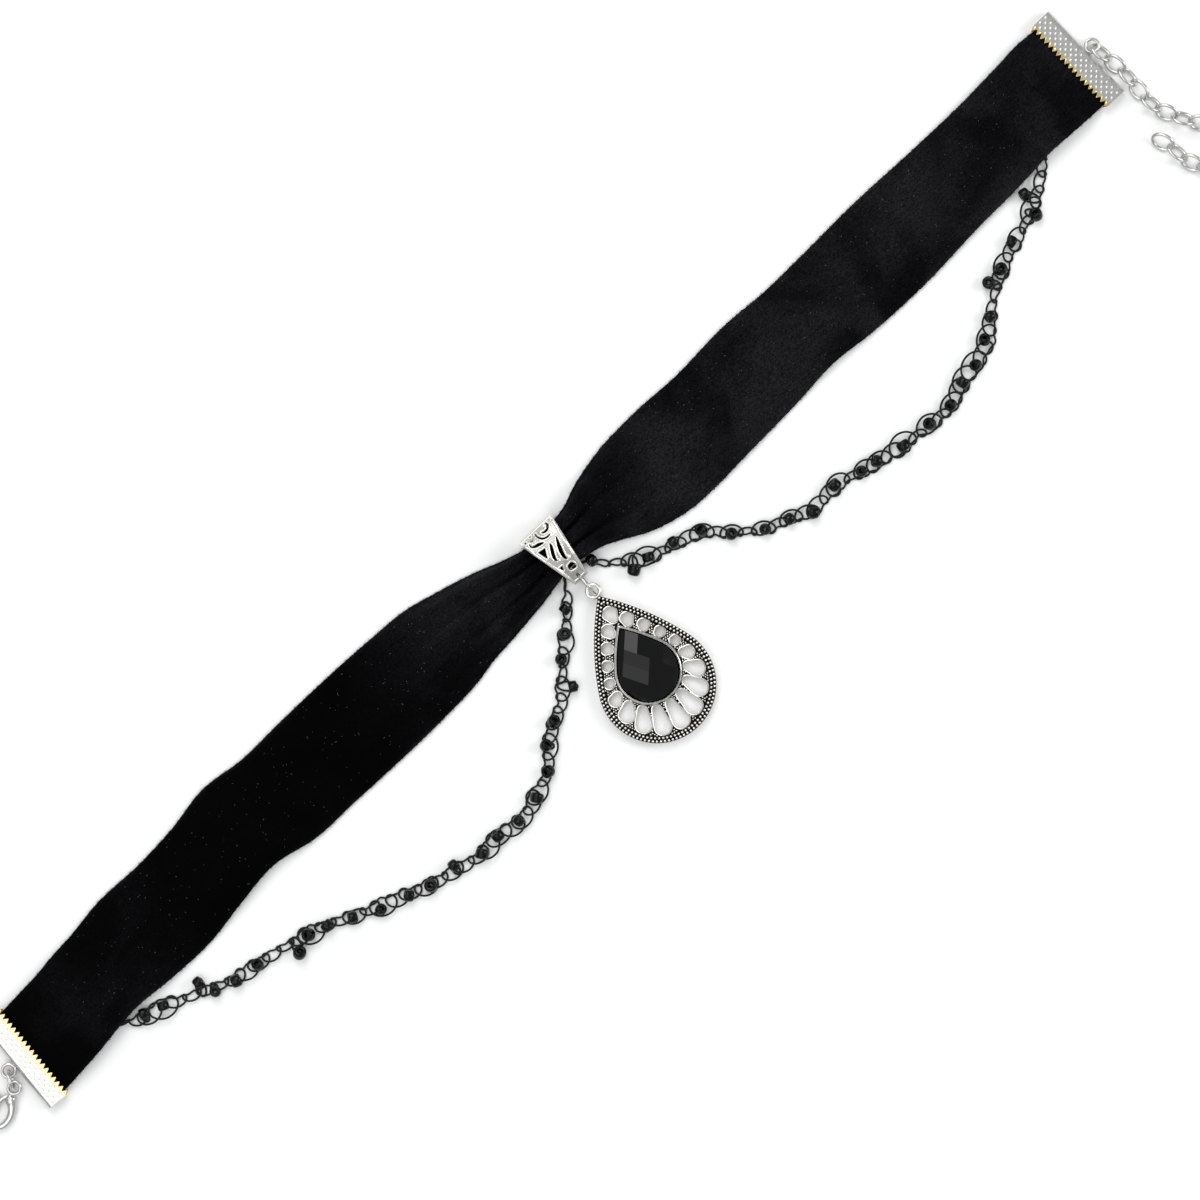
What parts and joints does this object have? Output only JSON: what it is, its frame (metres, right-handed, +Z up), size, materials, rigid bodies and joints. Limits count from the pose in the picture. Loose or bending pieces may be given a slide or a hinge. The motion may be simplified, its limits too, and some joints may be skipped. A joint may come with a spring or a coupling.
{
  "type": "choker necklace",
  "caption": "Open velvet ribbon choker with a pierced bail, a pear pendant with a faceted stone, beaded side strings, crimp ends, a clasp and an extender chain.",
  "frame": {"origin": "middle of the bail's flat back, on the surface that the choker lies on", "axes": "+X along the ribbon towards the extender chain, +Y from the pendant towards the bail, +Z up from the surface"},
  "size_m": [0.3638, 0.0681, 0.0075],
  "materials": {
    "black_velvet": "black velvet pile, matt with a faint grey sheen",
    "bright_silver": "bright silver plating, slightly warm",
    "antique_silver": "cast, silver plated and darkened in the recesses",
    "black_glass": "opaque black glass, faceted and polished",
    "black_thread": "black crocheted thread with glossy black glass seed beads"
  },
  "bodies": {
    "root": {"ribbon": "black_velvet", "bail": "antique_silver", "pendant_ring": "bright_silver", "pendant_setting": "antique_silver", "pendant_stone": "black_glass", "crimp_left": "bright_silver", "crimp_right": "bright_silver", "ring_left": "bright_silver", "clasp": "bright_silver", "chain_link_01": "bright_silver", "chain_link_02": "bright_silver", "chain_link_03": "bright_silver", "chain_link_04": "bright_silver", "chain_link_05": "bright_silver", "chain_link_06": "bright_silver", "chain_link_07": "bright_silver", "chain_link_08": "bright_silver", "chain_link_09": "bright_silver", "chain_link_10": "bright_silver", "chain_link_11": "bright_silver", "chain_link_12": "bright_silver", "chain_link_13": "bright_silver", "chain_link_14": "bright_silver", "chain_link_15": "bright_silver", "beaded_string_left": "black_thread", "beaded_string_right": "black_thread"}
  },
  "joints": []
}
